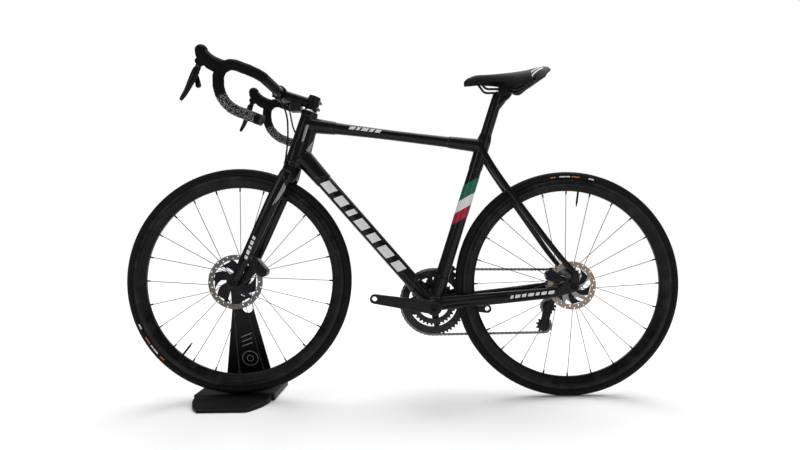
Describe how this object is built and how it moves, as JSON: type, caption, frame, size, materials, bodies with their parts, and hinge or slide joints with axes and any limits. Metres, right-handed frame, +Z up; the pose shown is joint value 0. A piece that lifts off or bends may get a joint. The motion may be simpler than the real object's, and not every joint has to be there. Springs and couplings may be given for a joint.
{
  "type": "bicycle on stand",
  "caption": "Drop-bar road bicycle with disc brakes, its front wheel held upright on a low black display stand with a notched upright plate.",
  "frame": {"origin": "on the floor, midway between the two axles and on the middle plane of the bicycle, which is the bottom centre of the bounding box", "axes": "+X points from the front wheel to the rear wheel, +Y to the drive side (the rider's right), +Z up"},
  "size_m": [1.659, 0.4492, 0.9975],
  "materials": {
    "carbon": "lacquered black carbon composite",
    "rim_carbon": "satin carbon composite",
    "tyre": "matt rubber",
    "black_metal": "satin black anodised",
    "spoke_steel": "dark drawn steel",
    "rotor_steel": "ground steel",
    "brake_black": "satin dark grey anodised",
    "bright_steel": "plated steel",
    "pulley_plastic": "moulded black",
    "tape": "cushioned black tape with grey speckles",
    "hood_rubber": "ribbed black rubber",
    "lever_black": "satin black",
    "saddle_cover": "smooth black cover",
    "hose": "black hose",
    "stand_black": "fine textured black"
  },
  "bodies": {
    "frame": {"head_tube": "carbon", "top_tube": "carbon", "down_tube": "carbon", "seat_tube": "carbon", "bottom_bracket_shell": "carbon", "bottom_bracket_cups": "black_metal", "chainstay_left": "carbon", "chainstay_right": "carbon", "seatstay_left": "carbon", "seatstay_right": "carbon", "rear_axle": "black_metal", "headset_bearings": "bright_steel", "rear_brake_hose": "hose", "rear_caliper": "brake_black", "seatpost": "carbon", "seat_collar": "black_metal", "saddle": "saddle_cover", "saddle_rails": "bright_steel", "chain": "bright_steel", "rear_derailleur": "brake_black", "front_derailleur": "brake_black"},
    "fork": {"fork_leg_left": "carbon", "fork_leg_right": "carbon", "fork_crown": "carbon", "front_axle": "black_metal", "front_caliper": "brake_black", "front_brake_hose": "hose", "stem": "black_metal", "stem_faceplate": "black_metal", "stem_cap": "black_metal", "headset_cover": "bright_steel", "junction_box": "pulley_plastic", "handlebar": "black_metal", "bar_tape_left": "tape", "bar_tape_right": "tape", "hood_left": "hood_rubber", "hood_right": "hood_rubber"},
    "front_wheel": {"front_hub": "black_metal", "front_rim": "rim_carbon", "front_tyre": "tyre", "front_spokes": "spoke_steel", "front_rotor": "rotor_steel"},
    "rear_wheel": {"rear_hub": "black_metal", "rear_rim": "rim_carbon", "rear_tyre": "tyre", "rear_spokes": "spoke_steel", "rear_rotor": "rotor_steel"},
    "cassette_body": {"cassette": "bright_steel"},
    "crankset": {"crank_arm_left": "brake_black", "crank_arm_right": "brake_black", "chainring_large": "brake_black", "chainring_small": "brake_black"},
    "guide_wheel": {"guide_pulley": "pulley_plastic"},
    "tension_wheel": {"tension_pulley": "pulley_plastic"},
    "lever_left": {"brake_lever_left": "lever_black"},
    "lever_right": {"brake_lever_right": "lever_black"},
    "paddle_left": {"shift_paddle_left": "lever_black"},
    "paddle_right": {"shift_paddle_right": "lever_black"},
    "stand": {"stand_base": "stand_black", "stand_upright": "stand_black"}
  },
  "joints": [
    {"name": "steering", "type": "hinge", "parent": "frame", "child": "fork", "pos_m": [-0.279, 0, 0.855], "axis": [0.3123, 0, 0.95], "range_deg": [-45, 45], "deforming": ["rear_brake_hose"]},
    {"name": "front_wheel_spin", "type": "hinge", "parent": "fork", "child": "front_wheel", "pos_m": [-0.4925, 0, 0.357], "axis": [0, 1, 0], "continuous": true},
    {"name": "rear_wheel_spin", "type": "hinge", "parent": "frame", "child": "rear_wheel", "pos_m": [0.4925, 0, 0.337], "axis": [0, 1, 0], "continuous": true},
    {"name": "crank_spin", "type": "hinge", "parent": "frame", "child": "crankset", "pos_m": [0.09, 0, 0.28], "axis": [0, 1, 0], "continuous": true},
    {"name": "cassette_spin", "type": "hinge", "parent": "frame", "child": "cassette_body", "pos_m": [0.4925, 0, 0.337], "axis": [0, 1, 0], "continuous": true},
    {"name": "guide_pulley_spin", "type": "hinge", "parent": "frame", "child": "guide_wheel", "pos_m": [0.447, 0.0435, 0.262], "axis": [0, 1, 0], "continuous": true},
    {"name": "tension_pulley_spin", "type": "hinge", "parent": "frame", "child": "tension_wheel", "pos_m": [0.432, 0.0435, 0.204], "axis": [0, 1, 0], "continuous": true},
    {"name": "brake_lever_left_pull", "type": "hinge", "parent": "fork", "child": "lever_left", "pos_m": [-0.519, -0.2055, 0.952], "axis": [0, -1, 0], "range_deg": [0, 22], "stiffness_Nm_per_rad": 0.8, "springref_deg": -8.59},
    {"name": "brake_lever_right_pull", "type": "hinge", "parent": "fork", "child": "lever_right", "pos_m": [-0.519, 0.2055, 0.952], "axis": [0, -1, 0], "range_deg": [0, 22], "stiffness_Nm_per_rad": 0.8, "springref_deg": -8.59},
    {"name": "shift_paddle_left_press", "type": "slide", "parent": "lever_left", "child": "paddle_left", "axis": [0, -1, 0], "range_m": [0, 0.001], "stiffness_N_per_m": 600, "springref_m": -0.0005},
    {"name": "shift_paddle_right_press", "type": "slide", "parent": "lever_right", "child": "paddle_right", "axis": [0, 1, 0], "range_m": [0, 0.001], "stiffness_N_per_m": 600, "springref_m": -0.0005},
    {"name": "stand_drop", "type": "slide", "parent": "fork", "child": "stand", "axis": [0, 0, -1], "range_m": [0, 0.12]}
  ],
  "couplings": [
    {"joint": "cassette_spin", "follows": "crank_spin", "ratio": 2.6316},
    {"joint": "guide_pulley_spin", "follows": "crank_spin", "ratio": -4.5455},
    {"joint": "tension_pulley_spin", "follows": "crank_spin", "ratio": 4.5455}
  ]
}
